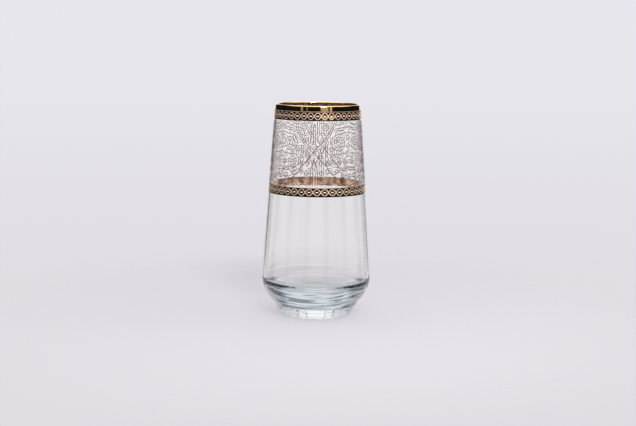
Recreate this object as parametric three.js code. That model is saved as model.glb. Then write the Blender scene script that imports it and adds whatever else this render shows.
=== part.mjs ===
// Tall highball glass, narrowing towards the lip, with a heavy base and fired-on decoration.
// Millimetres, +Z up, origin at the centre of the resting face.
import * as THREE from "three";

// Outside of the glass
const GLASS_HEIGHT = 147.4;
const LIP_RADIUS = 29.5;
const SHOULDER_RADIUS = 38.6; // where the wall line and the base cone would meet
const SHOULDER_HEIGHT = 20.8;
const SHOULDER_ROUNDING = 25.0;
const FOOT_RADIUS = 23.5; // where the base cone would meet the table
const FOOT_ROUNDING = 2.5;

// Inside of the glass
const LIP_THICKNESS = 1.5;
const LIP_ROUNDING = 0.55;
const WALL_THICKNESS = 2.2; // level with the shoulder
const BASE_THICKNESS = 21.7; // solid glass under the middle of the floor
const FLOOR_DISH = 1.0; // rise of the floor from its middle to the wall
const FLOOR_ROUNDING = 5.0;

// Fired-on decoration, from the lip downwards, as films on the outside of the wall
const FILM_THICKNESS = 0.15;
const FILM_CLEARANCE = 0.05;
const LIP_BAND_HEIGHT = 3.6;
const LIP_BAND_INSIDE = 1.6; // how far the plain band reaches down inside the lip
const LATTICE_TOP_SPACING = 0.1;
const UPPER_LATTICE_HEIGHT = 6.2;
const SCROLL_PANEL_SPACING = 0.5;
const SCROLL_PANEL_HEIGHT = 43.8;
const LOWER_LATTICE_SPACING = 0.5;
const LOWER_LATTICE_HEIGHT = 6.2;

// Fineness of the round surfaces
const TURN_SEGMENTS = 72;
const ARC_STEPS = 6;
const ROUNDED_SHARE = 0.5; // most of a side's length that one rounding takes up

// Colours and finishes
const CLEAR_GLASS = { color: 0xe6ebee, roughness: 0.03, metalness: 0, transparent: true, opacity: 0.35 };
const POLISHED_GOLD = { color: 0xc79a4b, roughness: 0.08, metalness: 1 };
const MATTE_GOLD = { color: 0xb08a6c, roughness: 0.45, metalness: 1 };
const FROSTED_ETCHING = { color: 0xcbc2c2, roughness: 0.7, metalness: 0, transparent: true, opacity: 0.5 };

// A turned body: its outline runs in the (radius, height) plane
function turned(name, outline, finish) {
  const geometry = new THREE.LatheGeometry(outline, TURN_SEGMENTS);
  geometry.rotateX(Math.PI / 2);
  const mesh = new THREE.Mesh(geometry, new THREE.MeshStandardMaterial(finish));
  mesh.name = name;
  return mesh;
}

// Points of the arc that rounds a corner of an outline and touches both of its sides
function roundedCorner(before, corner, after, radius) {
  const towardsBefore = before.clone().sub(corner);
  const towardsAfter = after.clone().sub(corner);
  const reach = ROUNDED_SHARE * Math.min(towardsBefore.length(), towardsAfter.length());
  towardsBefore.normalize();
  towardsAfter.normalize();
  const halfAngle = Math.acos(towardsBefore.dot(towardsAfter)) / 2;
  const tangentLength = Math.min(radius / Math.tan(halfAngle), reach);
  const bisector = towardsBefore.clone().add(towardsAfter).normalize();
  const centre = corner.clone().addScaledVector(bisector, tangentLength / Math.cos(halfAngle));
  const start = corner.clone().addScaledVector(towardsBefore, tangentLength).sub(centre);
  const end = corner.clone().addScaledVector(towardsAfter, tangentLength).sub(centre);
  const sweep = Math.atan2(start.cross(end), start.dot(end));
  const origin = new THREE.Vector2();
  return Array.from({ length: ARC_STEPS + 1 }, (_, step) =>
    start.clone().rotateAround(origin, (sweep * step) / ARC_STEPS).add(centre),
  );
}

// Corners of the glass's outline, before they are rounded
const footMiddle = new THREE.Vector2(0, 0);
const foot = new THREE.Vector2(FOOT_RADIUS, 0);
const shoulder = new THREE.Vector2(SHOULDER_RADIUS, SHOULDER_HEIGHT);
const lipOutside = new THREE.Vector2(LIP_RADIUS, GLASS_HEIGHT);
const lipInside = new THREE.Vector2(LIP_RADIUS - LIP_THICKNESS, GLASS_HEIGHT);

// Radius of a straight line of the outline at a height
function radiusAt(lower, upper, height) {
  const share = (height - lower.y) / (upper.y - lower.y);
  return lower.x + (upper.x - lower.x) * share;
}

const wallInsideAtShoulder = new THREE.Vector2(SHOULDER_RADIUS - WALL_THICKNESS, SHOULDER_HEIGHT);
const floorEdgeHeight = BASE_THICKNESS + FLOOR_DISH;
const floorEdge = new THREE.Vector2(
  radiusAt(wallInsideAtShoulder, lipInside, floorEdgeHeight),
  floorEdgeHeight,
);
const floorMiddle = new THREE.Vector2(0, BASE_THICKNESS);

function glassBody() {
  const outline = [
    footMiddle,
    ...roundedCorner(footMiddle, foot, shoulder, FOOT_ROUNDING),
    ...roundedCorner(foot, shoulder, lipOutside, SHOULDER_ROUNDING),
    ...roundedCorner(shoulder, lipOutside, lipInside, LIP_ROUNDING),
    ...roundedCorner(lipOutside, lipInside, floorEdge, LIP_ROUNDING),
    ...roundedCorner(lipInside, floorEdge, floorMiddle, FLOOR_ROUNDING),
    floorMiddle,
  ];
  return turned("glass_body", outline, CLEAR_GLASS);
}

// A point that stands off the outside of the wall by a distance square to it
const wallOutward = new THREE.Vector2(
  lipOutside.y - shoulder.y,
  shoulder.x - lipOutside.x,
).normalize();

function offWall(height, distance) {
  const onWall = new THREE.Vector2(radiusAt(shoulder, lipOutside, height), height);
  return onWall.addScaledVector(wallOutward, distance);
}

// A film round the wall between two heights
function wallFilm(name, top, height, finish) {
  const bottom = top - height;
  const inner = FILM_CLEARANCE;
  const outer = FILM_CLEARANCE + FILM_THICKNESS;
  const outline = [
    offWall(bottom, inner),
    offWall(bottom, outer),
    offWall(top, outer),
    offWall(top, inner),
    offWall(bottom, inner),
  ];
  return turned(name, outline, finish);
}

// A point level with a height that stands off a straight side of the outline by a distance square to it
function besideLine(lower, upper, height, distance) {
  const lean = Math.atan2(lower.x - upper.x, upper.y - lower.y);
  return new THREE.Vector2(radiusAt(lower, upper, height) + distance / Math.cos(lean), height);
}

// The path over the lip, at a distance from the glass, from the band's lower edge to its inner edge
function lipPath(distance) {
  const crest = GLASS_HEIGHT + distance;
  const rounding = LIP_ROUNDING + distance;
  const outsideEnd = offWall(GLASS_HEIGHT - LIP_BAND_HEIGHT, distance);
  const outside = besideLine(shoulder, lipOutside, crest, distance);
  const inside = besideLine(wallInsideAtShoulder, lipInside, crest, -distance);
  const insideEnd = besideLine(wallInsideAtShoulder, lipInside, GLASS_HEIGHT - LIP_BAND_INSIDE, -distance);
  return [
    outsideEnd,
    ...roundedCorner(outsideEnd, outside, inside, rounding),
    ...roundedCorner(outside, inside, insideEnd, rounding),
    insideEnd,
  ];
}

// The plain band covers the outside of the lip, its crest and a little of its inside
function lipBand() {
  const inner = lipPath(FILM_CLEARANCE);
  const outer = lipPath(FILM_CLEARANCE + FILM_THICKNESS);
  const outline = [...outer, ...inner.reverse(), outer[0]];
  return turned("lip_gold_band", outline, POLISHED_GOLD);
}

const upperLatticeTop = GLASS_HEIGHT - LIP_BAND_HEIGHT - LATTICE_TOP_SPACING;
const scrollPanelTop = upperLatticeTop - UPPER_LATTICE_HEIGHT - SCROLL_PANEL_SPACING;
const lowerLatticeTop = scrollPanelTop - SCROLL_PANEL_HEIGHT - LOWER_LATTICE_SPACING;

const highballGlass = new THREE.Group();
highballGlass.add(
  glassBody(),
  lipBand(),
  wallFilm("upper_lattice_band", upperLatticeTop, UPPER_LATTICE_HEIGHT, MATTE_GOLD),
  wallFilm("scroll_panel", scrollPanelTop, SCROLL_PANEL_HEIGHT, FROSTED_ETCHING),
  wallFilm("lower_lattice_band", lowerLatticeTop, LOWER_LATTICE_HEIGHT, MATTE_GOLD),
);

export default highballGlass;
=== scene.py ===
import math

import bmesh
import bpy
from mathutils import Matrix, Vector


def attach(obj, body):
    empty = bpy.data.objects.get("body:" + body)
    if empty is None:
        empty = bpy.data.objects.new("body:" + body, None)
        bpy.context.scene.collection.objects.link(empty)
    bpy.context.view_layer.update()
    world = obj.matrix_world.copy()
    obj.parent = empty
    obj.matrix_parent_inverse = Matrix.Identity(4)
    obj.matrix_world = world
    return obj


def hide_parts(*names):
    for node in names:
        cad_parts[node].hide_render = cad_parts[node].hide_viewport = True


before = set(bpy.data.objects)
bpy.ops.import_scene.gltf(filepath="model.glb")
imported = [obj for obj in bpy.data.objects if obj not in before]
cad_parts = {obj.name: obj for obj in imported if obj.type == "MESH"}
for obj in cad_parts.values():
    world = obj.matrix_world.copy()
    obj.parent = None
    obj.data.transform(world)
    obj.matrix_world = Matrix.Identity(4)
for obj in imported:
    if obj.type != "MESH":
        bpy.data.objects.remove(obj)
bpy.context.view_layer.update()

# Lengths of the glass are written in millimetres and turned into metres once
MM = 0.001

# Outside of the glass, as in the CAD model
GLASS_HEIGHT = 147.4 * MM
LIP_RADIUS = 29.5 * MM
SHOULDER_RADIUS = 38.6 * MM  # where the wall line and the base cone would meet
SHOULDER_HEIGHT = 20.8 * MM
SHOULDER_ROUNDING = 25.0 * MM
FOOT_RADIUS = 23.5 * MM  # where the base cone would meet the table
FOOT_ROUNDING = 2.5 * MM

# Inside of the glass
LIP_THICKNESS = 1.5 * MM
LIP_ROUNDING = 0.55 * MM
WALL_THICKNESS = 2.2 * MM  # level with the shoulder
BASE_THICKNESS = 21.7 * MM  # solid glass under the middle of the floor
FLOOR_DISH = 1.0 * MM  # rise of the floor from its middle to the wall
FLOOR_ROUNDING = 5.0 * MM
ROUNDED_SHARE = 0.5  # most of a side's length that one rounding takes up

# Fired-on films; each top is a distance off the glass
FILM_CLEARANCE = 0.05 * MM
FILM_THICKNESS = 0.15 * MM
FILM_TOP = FILM_CLEARANCE + FILM_THICKNESS
LINING_THICKNESS = 0.06 * MM
LINING_TOP = FILM_CLEARANCE + LINING_THICKNESS
RELIEF = 0.04 * MM
GROUND_TOP = FILM_TOP - RELIEF
ETCHING_TOP = FILM_CLEARANCE + RELIEF
LIP_BAND_HEIGHT = 3.6 * MM
LIP_BAND_INSIDE = 1.6 * MM
LATTICE_TOP_SPACING = 0.1 * MM
LATTICE_HEIGHT = 6.2 * MM
SCROLL_PANEL_SPACING = 0.5 * MM
SCROLL_PANEL_HEIGHT = 43.8 * MM
LOWER_LATTICE_SPACING = 0.5 * MM

# Lattice: two waves that cross, a bar between two windows in each loop, and four dots between loops
LATTICE_UNITS = 40
LATTICE_UNIT = 2 * math.pi / LATTICE_UNITS
LATTICE_LINE = 0.6 * MM
LATTICE_EDGE = 0.6 * MM
LATTICE_BORDER = 0.2 * MM
LATTICE_RISE = 0.1 * MM  # of the pattern's middle over the band's
WAVE_HEIGHT = 2.1 * MM
WAVE_STEPS = 16
WAVE_FLATNESS = 0.9
WAVE_TOP = FILM_TOP - RELIEF / 2  # the waves lie lower than the windows and bars
BAR_HEIGHT = 0.7 * MM
BAR_WIDTH = 1.9 * MM
WINDOW_WIDTH = 2.5 * MM
WINDOW_HEIGHT = 1.6 * MM
WINDOW_STEPS = 8
WINDOW_FULLNESS = 4  # power of the domed side
DOT_WIDTH = 0.8 * MM
DOT_HEIGHT = 1.3 * MM
DOT_PLACE = (0.5 * MM, 1.6 * MM)

# Scroll ornament, drawn flat in millimetres from its mirror line and from the panel's lower edge
SCROLL_REPEATS = 4
SCROLL_TURN = math.radians(-3.9)
HALF_REPEAT = 24.8
PANEL_TOP = SCROLL_PANEL_HEIGHT / MM
PANEL_MARGIN = 0.5
LINE_WIDTH = 0.4
LINE_STEP = 0.65
STEM_GAP = 1.4
SPIRAL_EYE = 0.5
SPIRAL_EASE = 0.9  # power by which a spiral closes in
LEAF_STEPS = 5
LEAF_EASE = 0.8  # power that moves a leaf's widest place towards its base

# Fineness
TURN_SEGMENTS = 320
ARC_STEP = math.radians(3.0)
ARC_FEWEST = 3
SHARP_ANGLE = math.radians(30)

# Surface of the glass
GLASS_INDEX = 1.5
GLASS_WAVES = 60.0  # in a metre
GLASS_RELIEF = 0.02  # share of the relief's full depth
GLASS_DEPTH = 1.0 * MM
GLASS_ROUGHEST = 0.012
RIPPLE_LENGTH = 2.9 * MM
RIPPLE_HEIGHTS = (19 * MM, 15 * MM)  # the ripples of the base start and are full here
SHADOW_HEIGHTS = (2 * MM, 30 * MM)  # the shadow turns from the base's to the wall's between these
ABSORPTION_DENSITY = 6.5

# Grain of the gold and the etching
NOISE_DETAIL = 2.0
GRAIN_EDGES = (0.35, 0.65)
GRAIN_DEPTH = 0.05 * MM
ETCHING_GRAINS = 1200.0  # in a metre
ETCHING_ROUGHNESS = (0.55, 0.8)
ETCHING_BUMP = 0.2
ETCHING_GLOSS = 0.2
ETCHING_COVER = 0.66

# Floor and camera, in metres
FLOOR_HALF_WIDTH = 0.32
FLOOR_DROP = 0.05 * MM
FLOOR_FADE = (0.09, 0.3)  # distances from the glass's axis over which the floor gives way to the backdrop
CAMERA_PLACE = (0.0, -0.9, 0.1954)
CAMERA_TARGET = (0.91 * MM, 0, 71.24 * MM)
CAMERA_ROLL = 0.0117
CAMERA_LENS = 73.415  # in millimetres, as the sensor is
SENSOR_WIDTH = 36.0

# Room round the glass, in degrees to the right of the viewer's side or up from level
BACKDROP_RISE = (-12, 0)  # two angles are the start and end of a soft edge
MIRRORED_RIGHT = (142, 150)
MIRRORED_LEFT = (-150, -158)
MIRRORED_FLOOR = (-2, -12)
MIRRORED_CEILING = (35, 55)
WINDOW_LEVELS = (4, 24, 1)  # three angles are the lowest, the highest and the softness
WINDOW_SOFTNESS = 1
STREAK_LEVELS = (4, 52, 8)
PALE_LEVELS = (-8.0, -1.0, 2.3)
OVERHEAD_RISE = (52, 60)
LOW_FLAG_LEVELS = (-26, 4, 6)
HIGH_FLAG_LEVELS = (-7, 40, 6)

# Streaks, overhead lamp and dark flags of the room
STREAK_EDGES = (0.47, 0.57)  # values of the noise
STREAK_STRETCH = (2.0, 2.0, 30.0)
STREAK_DETAIL = 3.0
VIEWER_EDGES = (0.2, 0.7)  # cosines of the angle from the viewer's side
VIEWER_STRENGTH = 0.6
OVERHEAD_EDGES = (0.3, 0.16)  # a direction's part to the side
LOW_FLAGS = 8.0  # all round, as for the high ones
LOW_FLAG_EDGES = (-0.4, -0.95)  # cosines within one flag's share of the turn
HIGH_FLAGS = 4.0
HIGH_FLAG_EDGES = (-0.1, -0.8)
HIGH_FLAG_STRENGTH = 0.48

# Socket numbers of the colours in a Mix node
MIX_FIRST = 6
MIX_SECOND = 7
MIX_RESULT = 2


# Node trees
def wire(tree, source, target):
    """Links a socket to a socket, or sets a constant on it."""
    if isinstance(source, bpy.types.NodeSocket):
        tree.links.new(source, target)
    else:
        target.default_value = source


def node(tree, kind, inputs=None, **settings):
    """A node with its settings and its inputs by name or number."""
    made = tree.nodes.new(kind)
    for name, value in settings.items():
        setattr(made, name, value)
    for name, value in (inputs or {}).items():
        wire(tree, value, made.inputs[name])
    return made


def calculate(tree, operation, *values):
    """Output of one Math node."""
    inputs = dict(enumerate(values))
    return node(tree, "ShaderNodeMath", inputs, operation=operation).outputs[0]


def smooth_step(tree, value, start, end):
    """0 before start, 1 after end and a smooth rise between them."""
    inputs = {"Value": value, "From Min": start, "From Max": end}
    return node(tree, "ShaderNodeMapRange", inputs, interpolation_type="SMOOTHSTEP").outputs[0]


def ranged(tree, share, low, high):
    """Low at share 0, high at share 1."""
    return node(tree, "ShaderNodeMapRange", {"Value": share, "To Min": low, "To Max": high}).outputs[0]


def noise(tree, place, scale, detail):
    inputs = {"Vector": place, "Scale": scale, "Detail": detail}
    return node(tree, "ShaderNodeTexNoise", inputs).outputs[0]


def bumped(tree, height, strength, depth):
    """Normal of a surface with a relief."""
    inputs = {"Height": height, "Strength": strength, "Distance": depth}
    return node(tree, "ShaderNodeBump", inputs).outputs[0]


def mixed_colour(tree, share, first, second):
    """First colour at share 0, second at share 1."""
    made = node(tree, "ShaderNodeMix", {0: share}, data_type="RGBA")
    wire(tree, first, made.inputs[MIX_FIRST])
    wire(tree, second, made.inputs[MIX_SECOND])
    return made.outputs[MIX_RESULT]


def linear(red, green, blue):
    """A colour written as 0 to 255 display values, as linear light by the standard display curve."""
    def channel(value):
        share = value / 255
        return share / 12.92 if share <= 0.04045 else ((share + 0.055) / 1.055) ** 2.4

    return (channel(red), channel(green), channel(blue), 1.0)


# Colours
GLASS_TINT = (1.0, 0.994, 0.986, 1.0)
GLASS_ABSORPTION = (0.66, 0.77, 0.83, 1.0)
BASE_SHADOW = linear(233, 232, 231)
WALL_SHADOW = linear(252, 252, 252)
# Etching colours: the etching's own grainy tone, darkened with painted shade
ETCHING_DARK = linear(100, 58, 54)
ETCHING_PALE = linear(124, 78, 72)
FLOOR_PAPER = linear(224, 222, 226)
BACKDROP_LOW = linear(224, 221, 227)
BACKDROP_HIGH = linear(231, 230, 237)
ROOM_FILL = linear(214, 212, 216)
MIRRORED_DIM = linear(22, 19, 18)
MIRRORED_PALE = linear(250, 248, 252)
MIRRORED_LAMP = (2.0, 2.0, 2.0, 1.0)
THROUGH_PLAIN = linear(231, 230, 234)
THROUGH_PALE = linear(247, 245, 248)
THROUGH_UPPER = linear(228, 232, 237)
THROUGH_STREAK = linear(142, 148, 156)
THROUGH_VIEWER = linear(150, 155, 162)
THROUGH_LAMP = (1.1, 1.1, 1.1, 1.0)
LOW_FLAG_COLOUR = linear(96, 96, 100)
HIGH_FLAG_COLOUR = linear(80, 83, 90)

# Windows that the gold mirrors: first and last angle, and colour
ROOM_WINDOWS = (
    (7, 28, linear(196, 186, 170)),
    (32, 38, linear(235, 228, 212)),
    (-46, -40, linear(180, 178, 168)),
    (-31, -26, linear(120, 118, 110)),
)


# Outlines
def rounded_corner(before, corner, after, radius):
    """Points of the arc that rounds a corner of an outline and touches both of its sides."""
    towards_before = before - corner
    towards_after = after - corner
    reach = ROUNDED_SHARE * min(towards_before.length, towards_after.length)
    towards_before.normalize()
    towards_after.normalize()
    half_angle = math.acos(towards_before.dot(towards_after)) / 2
    tangent_length = min(radius / math.tan(half_angle), reach)
    bisector = (towards_before + towards_after).normalized()
    centre = corner + bisector * (tangent_length / math.cos(half_angle))
    start = corner + towards_before * tangent_length - centre
    end = corner + towards_after * tangent_length - centre
    sweep = math.atan2(start.cross(end), start.dot(end))
    steps = max(ARC_FEWEST, math.ceil(abs(sweep) / ARC_STEP))
    turns = [Matrix.Rotation(sweep * step / steps, 2) for step in range(steps + 1)]
    return [centre + turn @ start for turn in turns]


def radius_at(lower, upper, height):
    """Radius of a straight line of the outline at a height."""
    return lower.x + (upper.x - lower.x) * (height - lower.y) / (upper.y - lower.y)


foot_middle = Vector((0, 0))
foot = Vector((FOOT_RADIUS, 0))
shoulder = Vector((SHOULDER_RADIUS, SHOULDER_HEIGHT))
lip_outside = Vector((LIP_RADIUS, GLASS_HEIGHT))
lip_inside = Vector((LIP_RADIUS - LIP_THICKNESS, GLASS_HEIGHT))
wall_inside = Vector((SHOULDER_RADIUS - WALL_THICKNESS, SHOULDER_HEIGHT))
floor_edge_height = BASE_THICKNESS + FLOOR_DISH
floor_edge = Vector((radius_at(wall_inside, lip_inside, floor_edge_height), floor_edge_height))
floor_middle = Vector((0, BASE_THICKNESS))
wall_outward = Vector((lip_outside.y - shoulder.y, shoulder.x - lip_outside.x)).normalized()


def off_wall(height, distance):
    """A point that stands off the outside of the wall, square to it, as (radius, height)."""
    return Vector((radius_at(shoulder, lip_outside, height), height)) + wall_outward * distance


def round_axis(radius, angle, height):
    """A point in space; the angle runs from the viewer's side, to the right."""
    return Vector((radius * math.sin(angle), -radius * math.cos(angle), height))


def on_wall(angle, height, distance):
    """A point in space that stands off the outside of the wall."""
    place = off_wall(height, distance)
    return round_axis(place.x, angle, place.y)


# Pieces
def finish_mesh(name, vertices, faces):
    """A mesh with its faces outwards, smooth apart from its sharp edges."""
    mesh = bpy.data.meshes.new(name)
    mesh.from_pydata(vertices, [], faces)
    shape = bmesh.new()
    shape.from_mesh(mesh)
    bmesh.ops.recalc_face_normals(shape, faces=shape.faces)
    shape.to_mesh(mesh)
    shape.free()
    mesh.shade_smooth()
    mesh.set_sharp_from_angle(angle=SHARP_ANGLE)
    return mesh


def add_piece(mesh, material, stands_for):
    """A piece of the glass on the CAD body, in place of a CAD node."""
    piece = bpy.data.objects.new(mesh.name, mesh)
    bpy.context.scene.collection.objects.link(piece)
    mesh.materials.append(material)
    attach(piece, "root")
    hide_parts(stands_for)


def join_loops(faces, first, second):
    """Faces between two closed loops of corners; a loop on the axis is one corner many times."""
    for corner in range(len(first)):
        after = (corner + 1) % len(first)
        corners = [first[corner], first[after], second[after], second[corner]]
        faces.append(list(dict.fromkeys(corners)))


def turned(name, outline, closed):
    """A turned body; a closed outline makes a ring, and an open one starts and ends on the axis."""
    vertices = []
    rings = []
    for place in outline:
        if place.x == 0:
            rings.append([len(vertices)] * TURN_SEGMENTS)
            vertices.append((0, 0, place.y))
            continue
        rings.append(range(len(vertices), len(vertices) + TURN_SEGMENTS))
        for segment in range(TURN_SEGMENTS):
            vertices.append(round_axis(place.x, 2 * math.pi * segment / TURN_SEGMENTS, place.y))
    faces = []
    following = rings[1:] + rings[:1] if closed else rings[1:]
    for lower, upper in zip(rings, following):
        join_loops(faces, lower, upper)
    return finish_mesh(name, vertices, faces)


# Materials
def new_material(name):
    """A material with an empty node tree."""
    material = bpy.data.materials.new(name)
    material.use_nodes = True
    tree = material.node_tree
    tree.nodes.clear()
    return material, tree


def clear_glass():
    """Glass with slight waves, ripples in the base and a light shadow."""
    material, tree = new_material("clear_glass")
    place = node(tree, "ShaderNodeTexCoord").outputs["Object"]
    height = node(tree, "ShaderNodeSeparateXYZ", {0: place}).outputs["Z"]
    waves = noise(tree, place, GLASS_WAVES, NOISE_DETAIL)
    turns = calculate(tree, "SINE", calculate(tree, "MULTIPLY", height, 2 * math.pi / RIPPLE_LENGTH))
    in_base = smooth_step(tree, height, *RIPPLE_HEIGHTS)
    ripples = calculate(tree, "MULTIPLY", calculate(tree, "MULTIPLY", turns, in_base), GLASS_RELIEF)
    relief = calculate(tree, "ADD", calculate(tree, "MULTIPLY", waves, GLASS_RELIEF), ripples)
    glass = node(tree, "ShaderNodeBsdfPrincipled", {
        "Base Color": GLASS_TINT,
        "Roughness": ranged(tree, waves, 0.0, GLASS_ROUGHEST),
        "IOR": GLASS_INDEX,
        "Transmission Weight": 1.0,
        "Normal": bumped(tree, relief, 1.0, GLASS_DEPTH),
    })
    shade = mixed_colour(tree, smooth_step(tree, height, *SHADOW_HEIGHTS), BASE_SHADOW, WALL_SHADOW)
    shadow = node(tree, "ShaderNodeBsdfTransparent", {"Color": shade})
    path = node(tree, "ShaderNodeLightPath")
    surface = glass.outputs[0]
    for ray in ("Is Shadow Ray", "Is Diffuse Ray"):
        inputs = {0: path.outputs[ray], 1: surface, 2: shadow.outputs[0]}
        surface = node(tree, "ShaderNodeMixShader", inputs).outputs[0]
    inputs = {"Color": GLASS_ABSORPTION, "Density": ABSORPTION_DENSITY}
    inside = node(tree, "ShaderNodeVolumeAbsorption", inputs)
    node(tree, "ShaderNodeOutputMaterial", {"Surface": surface, "Volume": inside.outputs[0]})
    return material


def gold(name, colours, metallic, roughness, grain_size, relief):
    """Fired gold whose colour, roughness and relief follow a fine grain."""
    material, tree = new_material(name)
    place = node(tree, "ShaderNodeTexCoord").outputs["Object"]
    grain = smooth_step(tree, noise(tree, place, 1 / grain_size, NOISE_DETAIL), *GRAIN_EDGES)
    surface = node(tree, "ShaderNodeBsdfPrincipled", {
        "Base Color": mixed_colour(tree, grain, *colours),
        "Metallic": metallic,
        "Roughness": ranged(tree, grain, *roughness),
        "Normal": bumped(tree, grain, relief, GRAIN_DEPTH),
    })
    node(tree, "ShaderNodeOutputMaterial", {"Surface": surface.outputs[0]})
    return material


def polished_gold():
    return gold(
        "polished_gold",
        colours=(linear(240, 212, 158), linear(232, 200, 140)),
        metallic=1.0,
        roughness=(0.04, 0.1),
        grain_size=1.1 * MM,
        relief=0.02,
    )


def painted_dark_gold():
    """Ground of the lattice, coloured near-black as a painted reflection of the dark room that the polished
    gold mirrors.
    """
    return gold(
        "painted_dark_gold",
        colours=(linear(20, 12, 10), linear(34, 22, 18)),
        metallic=0.5,
        roughness=(0.2, 0.34),
        grain_size=0.4 * MM,
        relief=0.3,
    )


def pale_gold():
    """Waves and border of the lattice."""
    return gold(
        "pale_gold",
        colours=(linear(240, 196, 166), linear(252, 224, 196)),
        metallic=0.85,
        roughness=(0.5, 0.58),
        grain_size=0.4 * MM,
        relief=0.2,
    )


def bright_gold():
    """Bars of the lattice."""
    return gold(
        "bright_gold",
        colours=(linear(255, 232, 202), linear(255, 242, 220)),
        metallic=0.15,
        roughness=(0.2, 0.3),
        grain_size=0.4 * MM,
        relief=0.1,
    )


def lip_lining():
    """Dark back of the gold at the lip."""
    return gold(
        "lip_lining",
        colours=(linear(128, 58, 26), linear(62, 28, 14)),
        metallic=0.4,
        roughness=(0.15, 0.3),
        grain_size=1.5 * MM,
        relief=0.05,
    )


def lattice_lining():
    """Mottled back of a lattice band, seen through the glass."""
    return gold(
        "lattice_lining",
        colours=(linear(112, 72, 36), linear(246, 204, 160)),
        metallic=0.35,
        roughness=(0.25, 0.45),
        grain_size=5.0 * MM,
        relief=0.1,
    )


def frosted_etching():
    """Matte etching that lets part of the light through; its grainy tone is its own, but its darkness is
    partly painted shade, darker than frosted glass so as to stand for the etching looking dark against the
    bright backdrop.
    """
    material, tree = new_material("frosted_etching")
    place = node(tree, "ShaderNodeTexCoord").outputs["Object"]
    grain = noise(tree, place, ETCHING_GRAINS, NOISE_DETAIL)
    surface = node(tree, "ShaderNodeBsdfPrincipled", {
        "Base Color": mixed_colour(tree, grain, ETCHING_DARK, ETCHING_PALE),
        "Roughness": ranged(tree, grain, *ETCHING_ROUGHNESS),
        "Specular IOR Level": ETCHING_GLOSS,
        "Normal": bumped(tree, grain, ETCHING_BUMP, GRAIN_DEPTH),
        "Alpha": ETCHING_COVER,
    })
    node(tree, "ShaderNodeOutputMaterial", {"Surface": surface.outputs[0]})
    return material


# The glass itself
def glass_body():
    outline = [
        foot_middle,
        *rounded_corner(foot_middle, foot, shoulder, FOOT_ROUNDING),
        *rounded_corner(foot, shoulder, lip_outside, SHOULDER_ROUNDING),
        *rounded_corner(shoulder, lip_outside, lip_inside, LIP_ROUNDING),
        *rounded_corner(lip_outside, lip_inside, floor_edge, LIP_ROUNDING),
        *rounded_corner(lip_inside, floor_edge, floor_middle, FLOOR_ROUNDING),
        floor_middle,
    ]
    add_piece(turned("glass", outline, False), clear_glass(), "glass_body")


# Gold at the lip
def beside_line(lower, upper, height, distance):
    """A point level with a height that stands off a straight side of the outline."""
    lean = math.atan2(lower.x - upper.x, upper.y - lower.y)
    return Vector((radius_at(lower, upper, height) + distance / math.cos(lean), height))


def lip_path(distance):
    """Path over the lip at a distance from the glass: the outside with the crest, then the inside."""
    crest = GLASS_HEIGHT + distance
    rounding = LIP_ROUNDING + distance
    outside_end = off_wall(GLASS_HEIGHT - LIP_BAND_HEIGHT, distance)
    outside = beside_line(shoulder, lip_outside, crest, distance)
    inside = beside_line(wall_inside, lip_inside, crest, -distance)
    inside_end = beside_line(wall_inside, lip_inside, GLASS_HEIGHT - LIP_BAND_INSIDE, -distance)
    over_crest = [
        *rounded_corner(outside_end, outside, inside, rounding),
        *rounded_corner(outside, inside, inside_end, rounding),
    ]
    return [outside_end, *over_crest], [over_crest[-1], inside_end]


def lip_layer(name, inner_path, outer_path, material):
    outline = outer_path + inner_path[::-1]
    add_piece(turned(name, outline, True), material, "lip_gold_band")


def lip_band(polished, lining):
    """Bright gold outside and over the crest; its dark back towards the glass and inside."""
    back_outside, back_inside = lip_path(FILM_CLEARANCE)
    between_outside, _ = lip_path(LINING_TOP)
    face_outside, face_inside = lip_path(FILM_TOP)
    lip_layer("lip_band", between_outside, face_outside, polished)
    lip_layer("lip_lining", back_outside, between_outside, lining)
    lip_layer("lip_inside", back_inside, face_inside, lining)


# Flat lines and ribbons
def directions(line):
    """Heading of a line at each of its places."""
    before = [line[0], *line[:-1]]
    after = [*line[1:], line[-1]]
    return [(end - start).normalized() for start, end in zip(before, after)]


def add_ribbon(vertices, faces, line, closed, width, layer, place_on_wall):
    """A thin ribbon on the wall along a flat line; its layer is two distances off the glass."""
    inner, outer = layer
    sections = []
    loop = [line[-1], *line, line[0]] if closed else line
    ways = directions(loop)[1:-1] if closed else directions(loop)
    for place, way in zip(line, ways):
        across = Vector((-way.y, way.x)) * width / 2
        left = place + across
        right = place - across
        corners = ((left, inner), (left, outer), (right, outer), (right, inner))
        sections.append(range(len(vertices), len(vertices) + len(corners)))
        vertices.extend(place_on_wall(corner, distance) for corner, distance in corners)
    following = sections[1:] + sections[:1] if closed else sections[1:]
    for section, after in zip(sections, following):
        join_loops(faces, section, after)
    if not closed:
        faces.append(list(sections[0]))
        faces.append(list(sections[-1]))


# Lattice bands
def wall_film(name, bottom, top, inner, outer):
    outline = [off_wall(bottom, inner), off_wall(bottom, outer), off_wall(top, outer), off_wall(top, inner)]
    return turned(name, outline, True)


def add_tile(vertices, faces, angle, height, outline):
    """A raised tile on the film; its outline runs in (along, up) from an angle and a height."""
    radius = radius_at(shoulder, lip_outside, height)
    loops = []
    for distance in (GROUND_TOP, FILM_TOP):
        loops.append(list(range(len(vertices), len(vertices) + len(outline))))
        for along, up in outline:
            vertices.append(on_wall(angle + along / radius, height + up, distance))
    faces.extend(loops)
    join_loops(faces, *loops)


def window_outline():
    """A window with a straight lower side and a domed upper side."""
    half_width = WINDOW_WIDTH / 2
    shares = [1 - 2 * step / WINDOW_STEPS for step in range(WINDOW_STEPS + 1)]
    return [(half_width * share, WINDOW_HEIGHT * (1 - abs(share) ** WINDOW_FULLNESS)) for share in shares]


def dot_outline():
    half_width = DOT_WIDTH / 2
    half_height = DOT_HEIGHT / 2
    return [(half_width, 0), (0, half_height), (-half_width, 0), (0, -half_height)]


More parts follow.
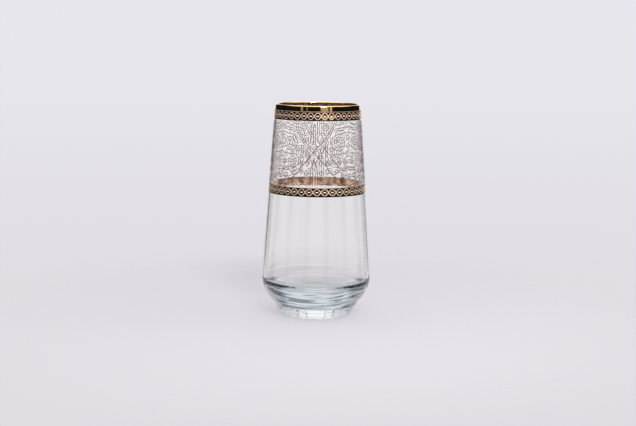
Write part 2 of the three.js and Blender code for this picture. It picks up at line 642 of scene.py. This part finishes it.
def bar_outline():
    half_width = BAR_WIDTH / 2
    half_height = BAR_HEIGHT / 2
    upper_side = [(half_width, half_height), (0, half_height), (-half_width, half_height)]
    return upper_side + [(-along, -up) for along, up in upper_side]


def moved(outline, along, up, side):
    """An outline moved along and up, and turned over on side -1."""
    return [(along + x, side * (up + y)) for x, y in outline]


def lattice_windows(name, middle):
    """Windows over and under the middle of each loop, and dots between the loops."""
    vertices = []
    faces = []
    window = window_outline()
    dot = dot_outline()
    dot_along, dot_up = DOT_PLACE
    for index in range(LATTICE_UNITS):
        angle = index * LATTICE_UNIT
        for side in (1, -1):
            add_tile(vertices, faces, angle, middle, moved(window, 0, BAR_HEIGHT / 2, side))
            for hand in (1, -1):
                outline = moved(dot, hand * dot_along, dot_up, side)
                add_tile(vertices, faces, angle + LATTICE_UNIT / 2, middle, outline)
    return finish_mesh(name, vertices, faces)


def lattice_lines(name, middle):
    """The crossing waves, as ribbons."""
    vertices = []
    faces = []
    radius = radius_at(shoulder, lip_outside, middle)

    def place_on_band(corner, distance):
        return on_wall(corner.x / radius, middle + corner.y, distance)

    for side in (1, -1):
        wave = []
        for step in range(LATTICE_UNITS * WAVE_STEPS + 1):
            swing = math.cos(math.pi * step / WAVE_STEPS)
            lift = math.copysign(abs(swing) ** WAVE_FLATNESS, swing)
            wave.append(Vector((step / WAVE_STEPS * LATTICE_UNIT * radius, side * WAVE_HEIGHT * lift)))
        add_ribbon(vertices, faces, wave, False, LATTICE_LINE, (GROUND_TOP, WAVE_TOP), place_on_band)
    return finish_mesh(name, vertices, faces)


def lattice_bars(name, middle):
    """A bar between the windows of each loop."""
    vertices = []
    faces = []
    bar = bar_outline()
    for index in range(LATTICE_UNITS):
        add_tile(vertices, faces, index * LATTICE_UNIT, middle, bar)
    return finish_mesh(name, vertices, faces)


def lattice_band(name, bottom, finishes):
    top = bottom + LATTICE_HEIGHT
    middle = (bottom + top) / 2 + LATTICE_RISE
    layers = (
        # the ground film's near-black colour is a painted reflection of the dark room
        (wall_film(name + "_ground", bottom, top, LINING_TOP, GROUND_TOP), "matte"),
        (wall_film(name + "_lining", bottom, top, FILM_CLEARANCE, LINING_TOP), "lining"),
        (wall_film(name + "_edge", bottom, bottom + LATTICE_EDGE, GROUND_TOP, FILM_TOP), "polished"),
        (wall_film(name + "_border", top - LATTICE_BORDER, top, GROUND_TOP, FILM_TOP), "pale"),
        (lattice_windows(name + "_windows", middle), "polished"),
        (lattice_lines(name + "_lines", middle), "pale"),
        (lattice_bars(name + "_bars", middle), "bright"),
    )
    for mesh, finish in layers:
        add_piece(mesh, finishes[finish], name + "_band")


# Lines of the scroll ornament
def spline(*places):
    """A smooth line through places."""
    through = [Vector(place) for place in places]
    first = 2 * through[0] - through[1]
    last = 2 * through[-1] - through[-2]
    ends = [first, *through, last]
    line = []
    for before, start, end, after in zip(ends, ends[1:], ends[2:], ends[3:]):
        steps = math.ceil((end - start).length / LINE_STEP)
        for step in range(steps):
            share = step / steps
            linear_part = (end - before) * share
            square_part = (2 * before - 5 * start + 4 * end - after) * share ** 2
            cubic_part = (3 * start - before - 3 * end + after) * share ** 3
            line.append(start + (linear_part + square_part + cubic_part) / 2)
    return line + [through[-1]]


def spiral(centre, radius, start, turns, hand):
    """A spiral from an angle on its outside to a small eye; hand 1 winds to the left."""
    sweep = 2 * math.pi * turns
    steps = math.ceil(sweep * (radius + SPIRAL_EYE) / 2 / LINE_STEP)
    line = []
    for step in range(steps + 1):
        share = step / steps
        angle = math.radians(start) + hand * sweep * share
        reach = radius + (SPIRAL_EYE - radius) * share ** SPIRAL_EASE
        line.append(Vector(centre) + reach * Vector((math.cos(angle), math.sin(angle))))
    return line


def ring(centre, radius):
    steps = math.ceil(2 * math.pi * radius / LINE_STEP)
    angles = [2 * math.pi * step / steps for step in range(steps)]
    return [Vector(centre) + radius * Vector((math.cos(angle), math.sin(angle))) for angle in angles]


def leaf(base, heading, length, width):
    """Closed outline of a pointed leaf."""
    along = Vector((math.cos(heading), math.sin(heading)))
    across = Vector((-along.y, along.x))
    shares = [step / LEAF_STEPS for step in range(LEAF_STEPS + 1)]

    def edge(side, share):
        bulge = side * width / 2 * math.sin(math.pi * share ** LEAF_EASE)
        return Vector(base) + along * length * share + across * bulge

    return [edge(1, share) for share in shares] + [edge(-1, share) for share in shares[-2:0:-1]]


def beside(line, distance):
    """The line moved to its left."""
    return [place + Vector((-way.y, way.x)) * distance for place, way in zip(line, directions(line))]


def pair(line):
    """The two edges of a stem along a line."""
    return [beside(line, STEM_GAP / 2), beside(line, -STEM_GAP / 2)]


def sprig(line, spacing, length, width, lean, start, clearance):
    """Leaves along a line, in turn on its left and right."""
    leaves = []
    run = 0
    side = 1
    ways = directions(line)
    for index in range(1, len(line)):
        run += (line[index] - line[index - 1]).length
        if run < start + spacing * len(leaves):
            continue
        way = ways[index]
        base = line[index] + Vector((-way.y, way.x)) * side * clearance
        heading = math.atan2(way.y, way.x) + side * math.radians(lean)
        leaves.append(leaf(base, heading, length, width))
        side = -side
    return leaves


# Parts of the scroll ornament; each gives its open lines, then its closed shapes
def axis_stems():
    lower_inner = spline((0.9, 0.7), (0.9, 6), (0.9, 10), (0.7, 13), (1.2, 16), (2.6, 19.2), (3.8, 21.4))
    lower_outer = spline((2.4, 0.7), (2.4, 6), (2.3, 10), (1.6, 13.6), (0.2, 17.4), (-0.8, 20.0))
    upper_inner = spline((0, 42.2), (0.7, 40), (0.7, 36), (0.7, 33), (0.6, 30.6), (1.2, 28.4), (2.2, 27.2))
    upper_outer = spline((1.6, 43), (2.4, 40), (2.2, 36), (2.2, 33), (2.4, 31), (3.2, 29.8), (4.2, 29.4))
    return [lower_inner, lower_outer, upper_inner, upper_outer], []


def diagonals():
    down = spline(
        (0, 23.3), (2.8, 19.6), (5.8, 16.6), (8.6, 13.4),
        (10.6, 10.4), (13.6, 7.2), (17.5, 4.8), (22.5, 3.2),
    )
    up = spline(
        (0, 23.6), (2.6, 26.0), (5.2, 28.0), (7.6, 30.8),
        (9.4, 34.2), (11.4, 37.4), (12.4, 40.2), (12.4, 43),
    )
    leaves = sprig(down, spacing=3.6, length=3.8, width=1.9, lean=42, start=3.0, clearance=0.3)
    return [down, *pair(up)], leaves


def large_volutes():
    low = spline((HALF_REPEAT, 24.2), (22.8, 22.6), (20.4, 22.7))
    low += spiral((14.9, 17.2), radius=5.1, start=65, turns=2.6, hand=1)
    high = spline((HALF_REPEAT, 36.8), (22.2, 36.4), (19.8, 35.8))
    high += spiral((17.4, 29.4), radius=6.2, start=70, turns=3.1, hand=1)
    tail = spline((HALF_REPEAT, 20.6), (23.4, 20.2), (22.2, 19.3))
    tail += spiral((22.2, 17), radius=2.3, start=90, turns=1.7, hand=1)
    upper_bow = spline((HALF_REPEAT, 35.4), (23.6, 33.4), (HALF_REPEAT, 31.2))
    lower_bow = spline((HALF_REPEAT, 29.6), (23.4, 27.6), (HALF_REPEAT, 25.6))
    return [low, high, tail, upper_bow, lower_bow], []


def upper_field():
    spray = spline((14.0, 37.0), (15.8, 38.6), (18.4, 38.8), (21, 39.2), (HALF_REPEAT, 41.0))
    wave = spline((3.8, 37.6), (4.6, 36.0), (6.2, 35.2), (8.0, 35.9))
    crown = spline((14.2, 42.9), (15.6, 41.7), (17.8, 41.6), (20, 42.4), (22, 43))
    curl = spline((3.2, 43), (5, 42.8))
    curl += spiral((7.4, 40), radius=3.0, start=105, turns=1.8, hand=-1)
    bud = leaf((5.0, 33.4), heading=math.radians(-75), length=3.6, width=1.8)
    return [*pair(spray), *pair(wave), crown, curl], [bud]


def middle_field():
    hanging = spline((8.4, 28.4), (8.2, 25), (8.4, 21.8))
    inner_curl = spiral((5.0, 24.2), radius=1.9, start=-140, turns=1.2, hand=1)
    outer_curl = spiral((11.6, 25.6), radius=2.1, start=40, turns=1.4, hand=-1)
    bud = leaf((8.4, 21.2), heading=math.radians(-90), length=5.4, width=2.2)
    return [*pair(hanging), inner_curl, outer_curl], [bud]


def lower_field():
    upper_arc = spline((17.8, 13.2), (19.8, 12.6), (22.2, 12.6), (HALF_REPEAT, 13.4))
    lower_arc = spline((17.6, 10.8), (20.0, 11.2), (22.4, 10.9), (HALF_REPEAT, 11.7))
    outer_curl = spiral((20.6, 7.8), radius=2.3, start=100, turns=1.5, hand=1)
    inner_curl = spiral((5.2, 9.2), radius=2.0, start=60, turns=1.5, hand=1)
    berry = ring((15.4, 10.6), radius=1.1)
    bud = leaf((23.4, 8.6), heading=math.radians(-70), length=3.4, width=1.8)
    return [upper_arc, lower_arc, outer_curl, inner_curl], [berry, bud]


def lower_edge():
    lobes = [
        spline((3.8, 3.2), (5.0, 5.0), (7.0, 5.6), (8.8, 4.8), (7.6, 3.6), (6.0, 3.4)),
        spline((4.4, 0.8), (6.4, 1.9), (8.4, 1.8), (9.8, 0.8)),
        spline((10.6, 0.8), (12.2, 2.9), (14.4, 3.5), (16.4, 2.4), (17.4, 0.9)),
        spline((18.6, 0.9), (20.4, 1.6), (22.4, 1.2), (HALF_REPEAT, 0.8)),
    ]
    return lobes, []


# Scroll panel
def inside_panel(line):
    return all(PANEL_MARGIN < place.y < PANEL_TOP - PANEL_MARGIN for place in line)


def half_repeat():
    """Lines and closed shapes of half a repeat, as (line, closed)."""
    drawn = []
    for draw in (axis_stems, diagonals, large_volutes, upper_field, middle_field, lower_field, lower_edge):
        lines, shapes = draw()
        drawn += [(line, False) for line in lines] + [(shape, True) for shape in shapes]
    return [(line, closed) for line, closed in drawn if inside_panel(line)]


def scroll_panel(bottom):
    """Every line of the ornament as a ribbon, all round the panel."""
    vertices = []
    faces = []
    layer = (FILM_CLEARANCE, ETCHING_TOP)
    half = half_repeat()
    half_turn = math.pi / SCROLL_REPEATS
    for repeat in range(SCROLL_REPEATS):
        for hand in (1, -1):
            def place_on_panel(corner, distance):
                angle = SCROLL_TURN + 2 * half_turn * repeat + hand * half_turn * corner.x / HALF_REPEAT
                return on_wall(angle, bottom + corner.y * MM, distance)

            for line, closed in half:
                add_ribbon(vertices, faces, line, closed, LINE_WIDTH, layer, place_on_panel)
    mesh = finish_mesh("scroll_ornament", vertices, faces)
    add_piece(mesh, frosted_etching(), "scroll_panel")


# Floor
def floor_material():
    """Paper that gives way to the backdrop away from the glass."""
    material, tree = new_material("stage_floor")
    place = node(tree, "ShaderNodeTexCoord").outputs["Object"]
    distance = node(tree, "ShaderNodeVectorMath", {0: place}, operation="LENGTH").outputs["Value"]
    fade = smooth_step(tree, distance, *FLOOR_FADE)
    paper = node(tree, "ShaderNodeBsdfDiffuse", {"Color": FLOOR_PAPER})
    clear = node(tree, "ShaderNodeBsdfTransparent")
    mix = node(tree, "ShaderNodeMixShader", {0: fade, 1: paper.outputs[0], 2: clear.outputs[0]})
    node(tree, "ShaderNodeOutputMaterial", {"Surface": mix.outputs[0]})
    return material


def build_floor():
    half = FLOOR_HALF_WIDTH
    corners = [(-half, -half), (half, -half), (half, half), (-half, half)]
    mesh = bpy.data.meshes.new("stage_floor")
    mesh.from_pydata([(x, y, -FLOOR_DROP) for x, y in corners], [], [range(len(corners))])
    mesh.materials.append(floor_material())
    floor = bpy.data.objects.new("stage_floor", mesh)
    bpy.context.scene.collection.objects.link(floor)


# Room
def soft_edge(tree, angle, start, end):
    """Smooth step between two angles in degrees."""
    return smooth_step(tree, angle, math.radians(start), math.radians(end))


def between(tree, angle, low, high, soft):
    """1 between two angles in degrees, with soft edges."""
    entering = soft_edge(tree, angle, low, low + soft)
    leaving = soft_edge(tree, angle, high, high - soft)
    return calculate(tree, "MULTIPLY", entering, leaving)


def mirrored_colour(tree, azimuth, elevation):
    """What gold and glass mirror: a dim room with windows, a pale backdrop and floor, a bright ceiling."""
    pale = soft_edge(tree, azimuth, *MIRRORED_RIGHT)
    for region in (soft_edge(tree, azimuth, *MIRRORED_LEFT), soft_edge(tree, elevation, *MIRRORED_FLOOR)):
        pale = calculate(tree, "MAXIMUM", pale, region)
    colour = mixed_colour(tree, pale, MIRRORED_DIM, MIRRORED_PALE)
    colour = mixed_colour(tree, soft_edge(tree, elevation, *MIRRORED_CEILING), colour, MIRRORED_LAMP)
    level = between(tree, elevation, *WINDOW_LEVELS)
    for first, last, shade in ROOM_WINDOWS:
        across = between(tree, azimuth, first, last, WINDOW_SOFTNESS)
        colour = mixed_colour(tree, calculate(tree, "MULTIPLY", across, level), colour, shade)
    return colour


def level_streaks(tree, direction):
    """1 on long level streaks."""
    stretched = node(tree, "ShaderNodeVectorMath", {0: direction, 1: STREAK_STRETCH}, operation="MULTIPLY")
    return smooth_step(tree, noise(tree, stretched.outputs[0], 1.0, STREAK_DETAIL), *STREAK_EDGES)


def overhead_lamp(tree, direction, elevation):
    """1 on a lamp overhead that runs from front to back."""
    x = node(tree, "ShaderNodeSeparateXYZ", {0: direction}).outputs["X"]
    strip = smooth_step(tree, calculate(tree, "ABSOLUTE", x), *OVERHEAD_EDGES)
    return calculate(tree, "MULTIPLY", soft_edge(tree, elevation, *OVERHEAD_RISE), strip)


def dark_flags(tree, azimuth, elevation, count, edges, levels):
    """1 on flags that stand evenly all round."""
    swing = calculate(tree, "COSINE", calculate(tree, "MULTIPLY", azimuth, count))
    return calculate(tree, "MULTIPLY", smooth_step(tree, swing, *edges), between(tree, elevation, *levels))


def seen_through_colour(tree, direction, azimuth, elevation):
    """What is seen through the glass: a pale backdrop, streaks higher up, an overhead lamp, dark flags."""
    colour = mixed_colour(tree, between(tree, elevation, *PALE_LEVELS), THROUGH_PLAIN, THROUGH_PALE)
    upper = between(tree, elevation, *STREAK_LEVELS)
    colour = mixed_colour(tree, upper, colour, THROUGH_UPPER)
    streaks = level_streaks(tree, direction)
    colour = mixed_colour(tree, calculate(tree, "MULTIPLY", streaks, upper), colour, THROUGH_STREAK)
    facing = smooth_step(tree, calculate(tree, "COSINE", azimuth), *VIEWER_EDGES)
    viewer_side = calculate(tree, "MULTIPLY", calculate(tree, "MULTIPLY", facing, upper), VIEWER_STRENGTH)
    colour = mixed_colour(tree, viewer_side, colour, THROUGH_VIEWER)
    colour = mixed_colour(tree, overhead_lamp(tree, direction, elevation), colour, THROUGH_LAMP)
    low_flags = dark_flags(tree, azimuth, elevation, LOW_FLAGS, LOW_FLAG_EDGES, LOW_FLAG_LEVELS)
    colour = mixed_colour(tree, low_flags, colour, LOW_FLAG_COLOUR)
    high_flags = dark_flags(tree, azimuth, elevation, HIGH_FLAGS, HIGH_FLAG_EDGES, HIGH_FLAG_LEVELS)
    strength = calculate(tree, "MULTIPLY_ADD", streaks, HIGH_FLAG_STRENGTH, HIGH_FLAG_STRENGTH)
    return mixed_colour(tree, calculate(tree, "MULTIPLY", high_flags, strength), colour, HIGH_FLAG_COLOUR)


def build_world():
    """Soft fill light, with a picture of its own for each kind of ray that looks into the room."""
    world = bpy.data.worlds.new("studio")
    world.use_nodes = True
    tree = world.node_tree
    tree.nodes.clear()
    direction = node(tree, "ShaderNodeTexCoord").outputs["Generated"]
    x, y, z = node(tree, "ShaderNodeSeparateXYZ", {0: direction}).outputs
    azimuth = calculate(tree, "ARCTAN2", x, calculate(tree, "MULTIPLY", y, -1.0))
    elevation = calculate(tree, "ARCSINE", z)
    mirrored = mirrored_colour(tree, azimuth, elevation)
    through = seen_through_colour(tree, direction, azimuth, elevation)
    backdrop = mixed_colour(tree, soft_edge(tree, elevation, *BACKDROP_RISE), BACKDROP_LOW, BACKDROP_HIGH)
    path = node(tree, "ShaderNodeLightPath")
    colour = mixed_colour(tree, path.outputs["Is Glossy Ray"], ROOM_FILL, mirrored)
    colour = mixed_colour(tree, path.outputs["Is Transmission Ray"], colour, through)
    colour = mixed_colour(tree, path.outputs["Is Camera Ray"], colour, backdrop)
    light = node(tree, "ShaderNodeBackground", {"Color": colour, "Strength": 1.0})
    node(tree, "ShaderNodeOutputWorld", {"Surface": light.outputs[0]})
    bpy.context.scene.world = world


# Lamps and camera
def aim(thing, target, roll=0.0):
    """Turns a camera or lamp towards a point."""
    facing = (Vector(target) - thing.location).to_track_quat("-Z", "Y")
    thing.rotation_mode = "QUATERNION"
    thing.rotation_quaternion = facing @ Matrix.Rotation(roll, 3, "Z").to_quaternion()


def soft_lamp(name, place, target, size, radiance):
    """A square lamp that isn't seen itself, neither straight nor through the glass."""
    lamp = bpy.data.lights.new(name, "AREA")
    lamp.shape = "SQUARE"
    lamp.size = size
    lamp.energy = radiance * math.pi * size ** 2
    thing = bpy.data.objects.new(name, lamp)
    bpy.context.scene.collection.objects.link(thing)
    thing.location = place
    aim(thing, target)
    thing.visible_camera = False
    thing.visible_transmission = False


def build_camera():
    camera = bpy.data.cameras.new("camera")
    camera.lens = CAMERA_LENS
    camera.sensor_width = SENSOR_WIDTH
    thing = bpy.data.objects.new("camera", camera)
    bpy.context.scene.collection.objects.link(thing)
    thing.location = CAMERA_PLACE
    aim(thing, CAMERA_TARGET, CAMERA_ROLL)
    bpy.context.scene.camera = thing


# Everything together
upper_lattice_bottom = GLASS_HEIGHT - LIP_BAND_HEIGHT - LATTICE_TOP_SPACING - LATTICE_HEIGHT
scroll_bottom = upper_lattice_bottom - SCROLL_PANEL_SPACING - SCROLL_PANEL_HEIGHT
lower_lattice_bottom = scroll_bottom - LOWER_LATTICE_SPACING - LATTICE_HEIGHT

glass_body()
golds = {
    "polished": polished_gold(),
    # the dark ground's colour is a painted reflection, not the gold's own tone
    "matte": painted_dark_gold(),
    "pale": pale_gold(),
    "bright": bright_gold(),
    "lining": lattice_lining(),
}
lip_band(golds["polished"], lip_lining())
lattice_band("upper_lattice", upper_lattice_bottom, golds)
lattice_band("lower_lattice", lower_lattice_bottom, golds)
scroll_panel(scroll_bottom)

build_floor()
build_world()
soft_lamp("side_light", place=(1.5, 0.15, 1.35), target=(0, 0, 0.05), size=1.1, radiance=0.5)
soft_lamp("front_light", place=(0.44, -1.54, 1.2), target=(0, 0, 0.1), size=0.5, radiance=28.0)
build_camera()
bpy.context.scene.view_settings.view_transform = "Standard"
